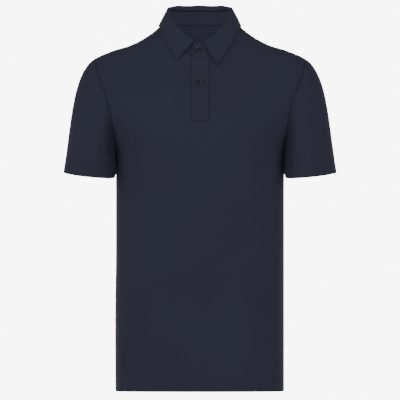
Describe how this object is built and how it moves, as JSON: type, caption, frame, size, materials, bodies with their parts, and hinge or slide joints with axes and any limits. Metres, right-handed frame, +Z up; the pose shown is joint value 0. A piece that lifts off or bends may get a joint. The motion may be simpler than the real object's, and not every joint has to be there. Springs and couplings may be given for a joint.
{
  "type": "polo shirt",
  "caption": "Short-sleeved knitted polo shirt, filled out as worn and hollow, with a rolled collar on a band, a buttoned placket and stitched hems.",
  "frame": {"origin": "midway between the two points where the shoulder seams meet the neck seam, where the wearer's shoulders carry the shirt", "axes": "+Z up, the front faces -Y, and +X is the wearer's left"},
  "size_m": [0.5468, 0.2386, 0.773],
  "materials": {
    "jersey": "dark navy cotton knit, matt, with a faint soft sheen",
    "collar_cloth": "the same dark navy knit, doubled and topstitched",
    "button": "near-black navy, polished, four holes"
  },
  "bodies": {
    "root": {"front": "jersey", "back": "jersey", "sleeve_left": "jersey", "sleeve_right": "jersey", "collar_stand": "collar_cloth", "collar_fall": "collar_cloth", "placket_top": "collar_cloth", "placket_under": "collar_cloth", "button_collar": "button", "button_placket": "button"}
  },
  "joints": []
}
